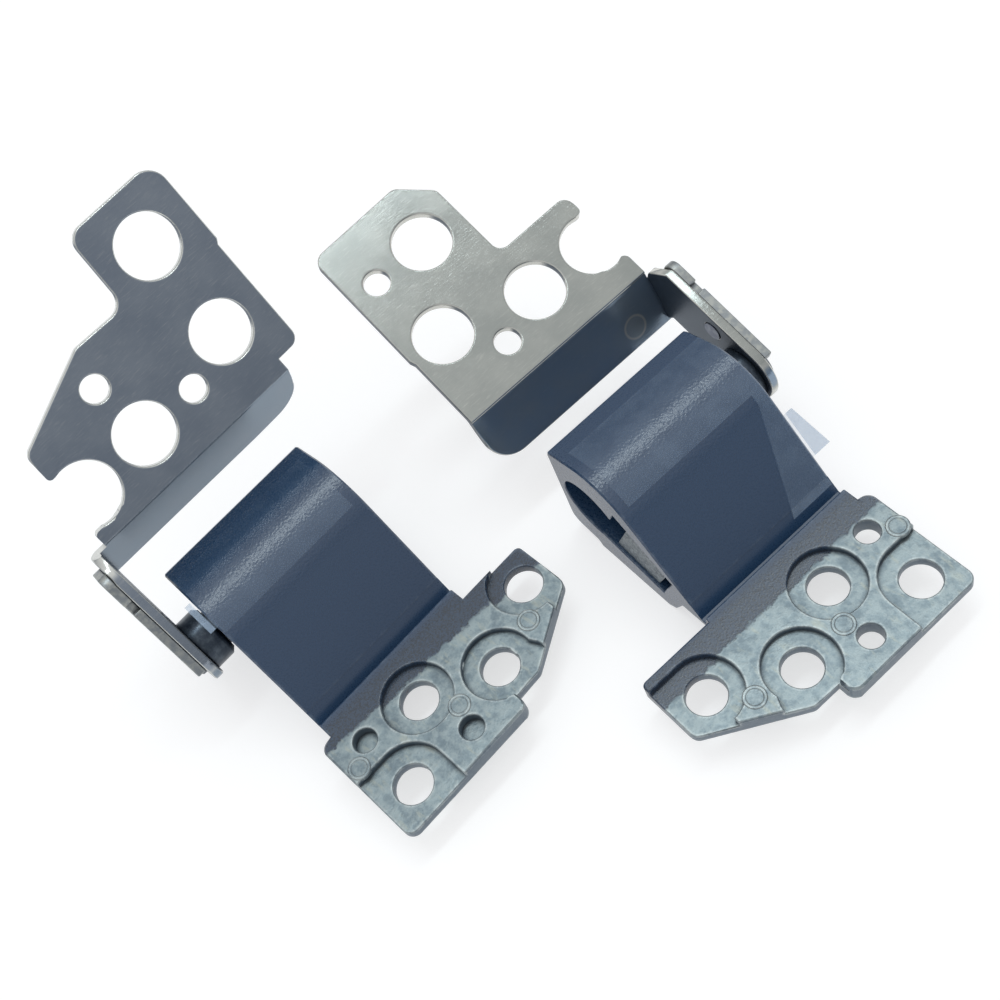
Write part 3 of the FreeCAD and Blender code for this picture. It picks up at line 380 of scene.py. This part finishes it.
def bare_zinc(finish, cloud, grain, rim_wear_and_glint):
    blotch, flow = finish.noise(**BLOTCH), finish.noise(**FLOW)
    tone = finish.mix(finish.span(blotch, *BLOTCH_SPAN), BARE_DARK, BARE)
    tone = finish.mix(finish.span(cloud, *LIGHT_SPAN), tone, BARE_LIGHT)
    tone = finish.mix(finish.span(cloud, *DARK_SPAN), tone, BARE_DARK)
    tone = finish.mix(finish.span(flow, *FLOW_SPAN), tone, BARE_WARM)
    tone = finish.mix(finish.span(grain, *SPECK_SPAN), tone, BARE_DARK)
    # Painted shade: upright walls are mixed towards a darker tone by their normal.
    upright = finish.span(finish.size(finish.parts(finish.normal)[2]), *UPRIGHT_SPAN)
    tone = finish.mix(finish.times(upright, WALL_SHADE_SHARE), tone, WALL_SHADE)
    # Painted highlight: outer rims of the bare zinc are mixed towards a pale tone.
    return finish.mix(finish.times(rim_wear_and_glint, finish.span(cloud, *BARE_GLINT_SPAN)), tone, BARE_RIM_GLINT)


print("bare zinc, linear:", tuple(round(v, 3) for v in BARE[:3]))

# %% [markdown]
# The barrel has a dark slate paint. Past its foot, on the flange, the spray thins out into a
# darker, grainier dust. The paint is nearly one colour, so a fine grain between two close tones is
# enough, and the outer rims show a little wear with a painted highlight.
# %% Dark paint
PAINT = colour(31, 59, 89)
PAINT_LIGHT = colour(41, 69, 100)
OVERSPRAY = colour(38, 60, 84)
OVERSPRAY_DARK = colour(24, 38, 54)
PAINT_RIM_WEAR_AND_GLINT = colour(104, 120, 138)
PAINT_SPAN = (0.42, 0.62, 0.0, 0.3)
OVERSPRAY_SPAN = (0.38, 0.6)
PAINT_WEAR_AND_GLINT_SPAN = (0.46, 0.60, 0.0, 0.6)


def dark_paint(finish, cloud, grain, rim_wear_and_glint, on_foot):
    tone = finish.mix(finish.span(grain, *PAINT_SPAN), PAINT, PAINT_LIGHT)
    dust = finish.mix(finish.span(grain, *OVERSPRAY_SPAN), OVERSPRAY_DARK, OVERSPRAY)
    tone = finish.mix(on_foot, tone, dust)
    # Outer rims: a little wear and a painted highlight, mixed towards a pale tone.
    return finish.mix(finish.times(rim_wear_and_glint, finish.span(cloud, *PAINT_WEAR_AND_GLINT_SPAN)), tone, PAINT_RIM_WEAR_AND_GLINT)


print("paint, linear:", tuple(round(v, 3) for v in PAINT[:3]))

# %% [markdown]
# A mask kept the paint off most of the flange. One material holds both, because they lie on one
# casting: the distance from the hinge axis chooses paint or metal, and the clouds make the mask's
# edge ragged. The paint's orange peel is deepest on the crest, where it breaks the panel's light
# into grains. Its index of refraction is set above that of usual paint, because at a lower one the
# highlight on the crest came out weaker than in the photograph.
# %% Castings
# Where the paint ends, in millimetres from the hinge axis, and how much that line slants.
MASK_EDGE = {"left": (-14.75, -0.07), "right": (-14.65, 0.0)}
MASK_RAGGED = 1.3 * MM
MASK_BLUR = 0.13 * MM
FOOT_SPAN = (-12.0 * MM, -12.9 * MM)
CREST_SPAN = (-5.7 * MM, -4.9 * MM)
PAST_FOOT_SPAN = (-12.4 * MM, -11.6 * MM)
RIM_REACH, RIM_SPAN = 0.27, (0.97, 0.70)
CORNER_REACH, CORNER_SPAN = 0.45, (0.45, 0.95)
CORNER_SHARE, CORNER_SHADE = 0.6, colour(30, 38, 48)
BARE_METALLIC = 0.55
BARE_ROUGH, PAINT_ROUGH, GRAIN_ROUGH = 0.34, 0.24, 0.08
PAINT_IOR = 1.72
PEEL = {"grain": 0.22, "detail": 1.0, "rough": 0.5}
DUST = {"grain": 0.15, "detail": 2.0, "rough": 0.6}
CREST_PEEL, FACE_PEEL, DUST_PEEL = 0.85, 0.06, 0.22
SKIN_GRAIN, SKIN_DEPTH = 0.35, 0.8
RELIEF = 0.035


def casting_finish(side):
    finish = Finish(side + "_paint_and_zinc", side)
    x, y = finish.parts(finish.place)[:2]
    cloud, grain = finish.noise(**CLOUD), finish.noise(**GRAIN)
    on_foot, on_crest = finish.span(y, *FOOT_SPAN), finish.span(y, *CREST_SPAN)

    edge_at, edge_slope = MASK_EDGE[side]
    edge = finish.plus(finish.times(x, HAND[side] * edge_slope), edge_at * MM)
    ragged = finish.times(finish.math("SUBTRACT", cloud, 0.5), MASK_RAGGED)
    past_edge = finish.plus(finish.math("SUBTRACT", y, edge), ragged)
    painted = finish.span(past_edge, -MASK_BLUR, MASK_BLUR)

    # The rim mask carries a painted highlight on bare rims, and wear with a painted highlight on painted rims.
    rim_wear_and_glint = finish.span(finish.inner_room(RIM_REACH), *RIM_SPAN)
    base = finish.mix(painted, bare_zinc(finish, cloud, grain, rim_wear_and_glint),
                      dark_paint(finish, cloud, grain, rim_wear_and_glint, on_foot))
    # Painted shade: inside corners of the flange are mixed towards a dark tone.
    unshaded = finish.larger(finish.span(finish.room(CORNER_REACH), *CORNER_SPAN),
                          finish.span(y, *PAST_FOOT_SPAN))
    finish.set(Base_Color=finish.shade_corners(base, unshaded, CORNER_SHARE, CORNER_SHADE), IOR=PAINT_IOR,
               Metallic=finish.span(painted, 0.0, 1.0, BARE_METALLIC, 0.0))
    finish.set(Roughness=finish.plus(finish.span(painted, 0.0, 1.0, BARE_ROUGH, PAINT_ROUGH),
                                     finish.times(grain, GRAIN_ROUGH)))

    deep = finish.plus(finish.times(on_crest, CREST_PEEL), FACE_PEEL)
    peel = finish.times(finish.noise(**PEEL), deep)
    peel = finish.plus(peel, finish.times(finish.noise(**DUST), on_foot, DUST_PEEL))
    skin = finish.times(finish.plus(cloud, finish.times(grain, SKIN_GRAIN)), SKIN_DEPTH)
    bare = finish.math("SUBTRACT", 1.0, painted)
    height = finish.plus(finish.times(peel, painted), finish.times(skin, bare))
    finish.set(Normal=finish.bump(height, RELIEF))
    return finish.material


FINISHES = {side + "_base_casting": casting_finish(side) for side in SIDES}
print("casting nodes:", len(FINISHES["left_base_casting"].node_tree.nodes))

# %% [markdown]
# The display brackets are stamped from rolled steel sheet. The flat faces are dull and faintly
# brushed. The strip that was folded down and the ear get darker tones as painted shade, and the
# sheared edges are brighter, partly for their bare cut metal and partly as a painted highlight. The
# normal in the bracket's own frame tells these apart, so no face has to be picked by hand.
# %% Tones of the rolled sheet
FOLD = math.radians(48.0)
BRUSHED = {"grain": 0.09, "detail": 3.0, "rough": 0.6, "stretch": (0.10, 1.0, 1.0)}
SCRATCHES = {"grain": 0.05, "detail": 1.0, "rough": 0.4, "stretch": (0.05, 1.0, 1.0)}
SHEET_CLOUD = {"grain": 3.5, "detail": 4.0, "rough": 0.55}
CLOUD_SPAN = (0.3, 0.7)
BRUSHED_SPAN = (0.52, 0.75, 0.0, 0.22)
STRIP_FACE_SPAN, STRIP_REACH_SPAN = (0.90, 0.985), (12.4 * MM, 11.4 * MM)
STRIP_CLOUD = 0.25
SHEARED_SPAN = (0.97, 0.85)
SCRATCH_SPAN, SCRATCH_SHARE = (0.70, 0.78), 0.2


def sheet_tone(finish, cloud, brushed, face, streak, strip, edge):
    y = finish.parts(finish.place)[1]
    nx, ny, nz = finish.parts(finish.normal)
    tone = finish.mix(finish.span(cloud, *CLOUD_SPAN), face, streak)
    tone = finish.mix(finish.span(brushed, *BRUSHED_SPAN), tone, edge)
    along_fold = finish.size(finish.plus(finish.times(ny, math.sin(FOLD)),
                                         finish.times(nz, -math.cos(FOLD))))
    on_strip = finish.times(finish.span(along_fold, *STRIP_FACE_SPAN),
                            finish.span(y, *STRIP_REACH_SPAN))
    strip = finish.mix(finish.span(cloud, *CLOUD_SPAN, 0.0, STRIP_CLOUD), strip, tone)
    # Painted shade: the folded strip gets its own darker tone by its normal.
    tone = finish.mix(on_strip, tone, strip)
    flat = finish.larger(finish.size(nz), along_fold, finish.size(nx))
    # The sheared edges are lighter for their bare cut metal, and partly as a painted highlight.
    return finish.mix(finish.span(flat, *SHEARED_SPAN), tone, edge)


print("strip folded down by", round(math.degrees(FOLD)), "degrees")

# %% [markdown]
# The right strip shows a faint round mark of the press tool, a thin ring with a slightly lighter
# middle. It has no depth to speak of, so the distance from its centre only changes the colour. The
# ear is rougher than the leaf and gets a darker tone as painted shade, and the inside corners get
# painted shade too. The steel is smooth enough that each flat face mirrors one part of the room.
# %% Display brackets
SPOT_MARK = {"left": None, "right": (-5.65, 9.09, -1.975)}
RING_IN, RING_OUT = (0.8 * MM, 0.95 * MM), (1.15 * MM, 1.0 * MM)
MIDDLE_SHARE, MARK_SHARE = 0.25, 0.6
SHEET_CORNER_REACH, SHEET_CORNER_SPAN = 0.5, (0.4, 0.95)
SHEET_CORNER_SHARE, SHEET_CORNER_SHADE = 0.45, colour(30, 36, 44)
EAR_SPAN, EAR_SHARE, EAR_SHADE = (0.75, 0.95), 0.85, colour(56, 72, 90)
SHEET_METALLIC = 0.72
SHEET_ROUGH = (0.125, 0.155)
FINE = {"grain": 0.16, "detail": 2.0, "rough": 0.5}
FINE_ROUGH, EAR_ROUGH = 0.05, 0.25
FINE_DEPTH, SHEET_RELIEF = 0.6, 0.006


def press_mark(finish, side):
    """How much the round mark shows: its thin ring, and less of its middle."""
    away = finish.distance(spot(side, *SPOT_MARK[side]))
    ring = finish.times(finish.span(away, *RING_IN), finish.span(away, *RING_OUT))
    middle = finish.times(finish.span(away, *reversed(RING_IN)), MIDDLE_SHARE)
    return finish.times(finish.larger(ring, middle), MARK_SHARE)


def sheet_finish(side, face, streak, strip, edge):
    finish = Finish(side + "_rolled_steel", side, raised=True)
    cloud, brushed, fine = (finish.noise(**kind) for kind in (SHEET_CLOUD, BRUSHED, FINE))
    tone = sheet_tone(finish, cloud, brushed, face, streak, strip, edge)
    if SPOT_MARK[side]:
        tone = finish.mix(press_mark(finish, side), tone, edge)
    scratch = finish.span(finish.noise(**SCRATCHES), *SCRATCH_SPAN)
    tone = finish.mix(finish.times(scratch, SCRATCH_SHARE), tone, edge)
    # Painted shade: inside corners of the bracket are mixed towards a dark tone.
    unshaded = finish.span(finish.room(SHEET_CORNER_REACH), *SHEET_CORNER_SPAN)
    tone = finish.shade_corners(tone, unshaded, SHEET_CORNER_SHARE, SHEET_CORNER_SHADE)
    on_ear = finish.span(finish.size(finish.parts(finish.normal)[0]), *EAR_SPAN)
    # Painted shade: faces that look along the axis, the ear's, are mixed towards a dark tone.
    tone = finish.mix(finish.times(on_ear, EAR_SHARE), tone, EAR_SHADE)
    finish.set(Base_Color=tone, Metallic=SHEET_METALLIC)
    finish.set(Roughness=finish.plus(finish.times(fine, FINE_ROUGH),
                                     finish.span(cloud, *CLOUD_SPAN, *SHEET_ROUGH),
                                     finish.times(on_ear, EAR_ROUGH)))
    height = finish.plus(brushed, finish.times(fine, FINE_DEPTH))
    finish.set(Normal=finish.bump(height, SHEET_RELIEF))
    return finish.material


# Both brackets are the same steel; their different tones partly paint in the different light each tilted leaf
# mirrors, as painted shade and highlight.
FINISHES["left_display_bracket"] = sheet_finish(
    "left", face=colour(130, 139, 151), streak=colour(142, 150, 160), strip=colour(124, 140, 154),
    edge=colour(205, 206, 202))
FINISHES["right_display_bracket"] = sheet_finish(
    "right", face=colour(150, 154, 151), streak=colour(160, 163, 159), strip=colour(132, 152, 174),
    edge=colour(214, 213, 206))
print("bracket nodes:", len(FINISHES["right_display_bracket"].node_tree.nodes))

# %% [markdown]
# The small inner pieces are plainer: a dark greased shaft and clips, a speckled sintered key, and
# a dull doubler plate with its rivet. One recipe makes them all, from two tones, how metallic and
# how rough they are, the width of their blotches, and how deep their grain is.
# %% Small steel pieces
STEEL_CLOUD, STEEL_WIDE = {"detail": 3.0, "rough": 0.65}, {"detail": 2.0, "rough": 0.5}
WIDER = 6
STEEL_SPAN = (0.38, 0.64)
STEEL_CORNER_REACH, STEEL_CORNER_SPAN = 0.4, (0.4, 0.95)
STEEL_CORNER_SHARE, STEEL_CORNER_SHADE = 0.5, colour(24, 28, 34)
ROUGHER = 0.12


def small_steel(name, base, other, metallic, rough, grain=0.5, depth=0.01):
    finish = Finish(name)
    cloud = finish.noise(grain, **STEEL_CLOUD)
    wide = finish.noise(grain * WIDER, **STEEL_WIDE)
    tone = finish.mix(finish.span(cloud, *STEEL_SPAN), base, other)
    # Painted shade: inside corners of the small pieces are mixed towards a dark tone.
    unshaded = finish.span(finish.room(STEEL_CORNER_REACH), *STEEL_CORNER_SPAN)
    finish.set(Base_Color=finish.shade_corners(tone, unshaded, STEEL_CORNER_SHARE, STEEL_CORNER_SHADE), Metallic=metallic)
    finish.set(Roughness=finish.span(wide, *CLOUD_SPAN, rough, rough + ROUGHER))
    finish.set(Normal=finish.bump(cloud, depth))
    return finish.material


FINISHES.update({
    "ear_doubler": small_steel("dull_doubler", colour(146, 151, 154), colour(172, 174, 170),
                               metallic=0.9, rough=0.34),
    "ear_rivet": small_steel("formed_rivet", colour(96, 104, 124), colour(130, 138, 150),
                             metallic=0.6, rough=0.35),
    "hinge_shaft": small_steel("greased_shaft", colour(56, 66, 78), colour(78, 88, 98),
                               metallic=0.6, rough=0.26),
    "slot_key": small_steel("sintered_key", colour(66, 76, 86), colour(140, 150, 154),
                            metallic=0.45, rough=0.4, grain=0.22, depth=0.03),
    "friction_clip": small_steel("clip_steel", colour(60, 70, 84), colour(92, 102, 114),
                                 metallic=0.6, rough=0.35),
})
print("small steel finishes:", list(FINISHES)[-5:])

# %% [markdown]
# A clear film still covers part of each barrel, and one tab of it stands out past the end. It is
# nearly invisible where it clings and milky where it lifts. It could be glass with real
# refraction, but a film this thin bends light very little, so noise drives the opacity of a pale
# blue skin.
# %% Protective film
FILM_MILK = {"left": 0.04, "right": 0.08}
FILM_TONE, FILM_ROUGH = colour(182, 204, 228), 0.30
LIFTED, LIFTED_SPAN, CLINGING_SHARE = {"grain": 2.0, "detail": 3.0, "rough": 0.6}, (0.36, 0.64), 0.4
TAB_SPAN, TAB_MILK = (6.6 * MM, 6.7 * MM), 0.28
FRONT_SPAN, FRONT_MILK = (-2.6 * MM, -3.4 * MM), 0.06
FILM_GRAIN, FILM_RELIEF = 0.2, 0.03


def film_finish(side):
    finish = Finish(side + "_clear_film", side)
    x, y = finish.parts(finish.place)[:2]
    lift, grain = finish.noise(**LIFTED), finish.noise(**GRAIN)
    milk = FILM_MILK[side]
    lifted = finish.span(lift, *LIFTED_SPAN, milk * CLINGING_SHARE, milk)
    front = finish.span(y, *FRONT_SPAN, 0.0, FRONT_MILK)
    free = finish.span(finish.times(x, -HAND[side]), *TAB_SPAN, 0.0, TAB_MILK)
    finish.set(Base_Color=FILM_TONE, Roughness=FILM_ROUGH, Alpha=finish.plus(lifted, front, free))
    finish.set(Normal=finish.bump(finish.plus(lift, finish.times(grain, FILM_GRAIN)), FILM_RELIEF))
    return finish.material


FINISHES.update({side + "_protective_film": film_finish(side) for side in SIDES})
print("film nodes:", len(FINISHES["left_protective_film"].node_tree.nodes))

# %% [markdown]
# Every packed piece now gets its finish. A piece is looked up by its full name first, since
# castings, brackets and films differ from side to side, and then by its kind.
# %% Put the finishes on
def finish_of(name):
    if name in FINISHES:
        return FINISHES[name]
    return next(FINISHES[kind] for kind in FINISHES if kind in name)


for name, node in nodes.items():
    node.data.materials.clear()
    node.data.materials.append(finish_of(name))
print("finishes:", len(FINISHES))

# %% [markdown]
# A real casting or stamping has no perfectly sharp edge, and a thin bright line runs along each
# one in the photograph. In a packed mesh many faces aren't joined to their neighbours, and a Bevel
# modifier can't round an edge that only one face has. So each piece that shows is copied, its
# triangles are merged into clean faces, and a small bevel goes on the sharp outer edges alone. It
# leaves out the corners where it has no room and would fold over. A film is lifted by 0.02 mm, so
# that it doesn't share the surface of the paint under it.
# %% Copies with softened edges
SHARP, TOO_SHARP = math.radians(60.0), math.radians(120.0)
ACUTE = math.cos(math.radians(10.0))
CROWDED = 0.1 * MM
SAME_POINT = 0.0008 * MM
FLAT = math.radians(0.6)
BEVEL_STEPS = 3
FILM_SWELL = 0.02


def is_crowded(vertex):
    """True where a bevel would fold over: at a short or knife-sharp edge, or two almost in line."""
    ways = [(edge.other_vert(vertex).co - vertex.co).normalized() for edge in vertex.link_edges]
    narrow = any(first.dot(second) > ACUTE
                 for index, first in enumerate(ways) for second in ways[:index])
    knife = any(edge.is_manifold and edge.calc_face_angle() > TOO_SHARP
                for edge in vertex.link_edges)
    return narrow or knife or any(edge.calc_length() < CROWDED for edge in vertex.link_edges)


def bevel_edges(board, width):
    crowded = {vertex for vertex in board.verts if is_crowded(vertex)}
    sharp = [edge for edge in board.edges
             if edge.is_manifold and edge.calc_face_angle_signed() > SHARP
             and not crowded.intersection(edge.verts)]
    bmesh.ops.bevel(board, geom=sharp, offset=width, offset_type="OFFSET", affect="EDGES",
                    segments=BEVEL_STEPS, profile=0.5, material=-1, clamp_overlap=False,
                    loop_slide=False)
    bmesh.ops.remove_doubles(board, verts=board.verts, dist=SAME_POINT)


def soft_copy(name, width):
    """A merged copy of a packed piece. A film is lifted a little, off the paint's own surface."""
    board = bmesh.new()
    board.from_mesh(nodes[name].data)
    bmesh.ops.remove_doubles(board, verts=board.verts, dist=SAME_POINT)
    bmesh.ops.dissolve_limit(board, angle_limit=FLAT, verts=board.verts, edges=board.edges,
                             use_dissolve_boundaries=False)
    if width:
        bevel_edges(board, width)
    if "film" in name:
        for vertex in board.verts:
            vertex.co += vertex.normal * FILM_SWELL * MM
    mesh = bpy.data.meshes.new(name + "_soft")
    board.to_mesh(mesh)
    board.free()
    return mesh


print("bevels on edges over", round(math.degrees(SHARP)), "degrees")

# Round walls are shaded smooth and true edges stay sharp. Weighted normals keep the wide flat
# faces flat beside the small bevels. %% Place the soft pieces
SMOOTH = math.radians(35.0)
BODIES = frame["record"]["behaviour"]["bodies"]
BODY_OF = {node: body for body, members in BODIES.items() for node in members}
# How wide the bevel is on each kind of piece, in millimetres.
SOFTENED = {"base_casting": 0.12, "display_bracket": 0.15, "ear_doubler": 0.10, "slot_key": 0.05,
            "hinge_shaft": 0.08, "ear_rivet": 0.0, "protective_film": 0.0}


def place_piece(name, mesh, material, body):
    """Show a finished mesh: smooth round walls, one finish, a body to ride on."""
    for face in mesh.polygons:
        face.use_smooth = True
    mesh.set_sharp_from_angle(angle=SMOOTH)
    mesh.materials.append(material)
    piece = show(name, mesh)
    piece.modifiers.new("weigh", "WEIGHTED_NORMAL").keep_sharp = True
    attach(piece, body)
    return piece


for side in SIDES:
    for kind, width in SOFTENED.items():
        name = f"{side}_{kind}"
        mesh = soft_copy(name, width * MM)
        piece = place_piece(name + "_soft", mesh, finish_of(name), BODY_OF[name])
        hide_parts(name)
        print(piece.name, "faces", len(mesh.polygons))

# %% [markdown]
# Ejector pins push the casting out of its mould, and each leaves a shallow round mark on the
# flange: a fine raised ring round a flat disc. The mark is round, so it is turned from its half
# profile with a full spin, and its last point lies inside the casting, where the hole under it is
# closed.
# %% Ejector marks
FLANGE_TOP = -1.9
# Each mark: its name, and its place along the axis and towards the screws, in millimetres.
EJECTORS = (("near", -6.67, 17.0), ("middle", 1.67, 19.48), ("far", 9.9, 18.83))
RING_PROFILE = ((0.0, 0.02), (0.58, 0.02), (0.60, 0.02), (0.64, 0.05), (0.68, 0.02), (0.70, 0.02),
                (0.81, 0.02), (0.83, 0.02), (0.87, 0.06), (0.91, 0.02), (0.93, -0.25))
RING_STEPS = 48


def turned(profile, steps):
    """A round form: a half profile of (radius, height) in millimetres, spun about Z and closed."""
    board = bmesh.new()
    points = [board.verts.new((radius * MM, 0.0, height * MM)) for radius, height in profile]
    edges = [board.edges.new(pair) for pair in zip(points, points[1:])]
    bmesh.ops.spin(board, geom=points + edges, cent=(0.0, 0.0, 0.0), axis=(0.0, 0.0, 1.0),
                   angle=math.tau, steps=steps, use_merge=True)
    bmesh.ops.remove_doubles(board, verts=board.verts, dist=SAME_POINT)
    open_edges = [edge for edge in board.edges if edge.is_boundary]
    bmesh.ops.holes_fill(board, edges=open_edges, sides=0)
    bmesh.ops.recalc_face_normals(board, faces=board.faces)
    return board


for side in SIDES:
    for label, along, reach in EJECTORS:
        board = turned(RING_PROFILE, RING_STEPS)
        move = hinge_matrix(side) @ Matrix.Translation(spot(side, along, -reach, FLANGE_TOP))
        bmesh.ops.transform(board, matrix=move, verts=board.verts)
        mesh = bpy.data.meshes.new(f"{side}_ejector_mark_{label}")
        board.to_mesh(mesh)
        board.free()
        place_piece(mesh.name, mesh, finish_of(side + "_base_casting"), "bases")
print("ejector marks:", len(EJECTORS) * len(SIDES))
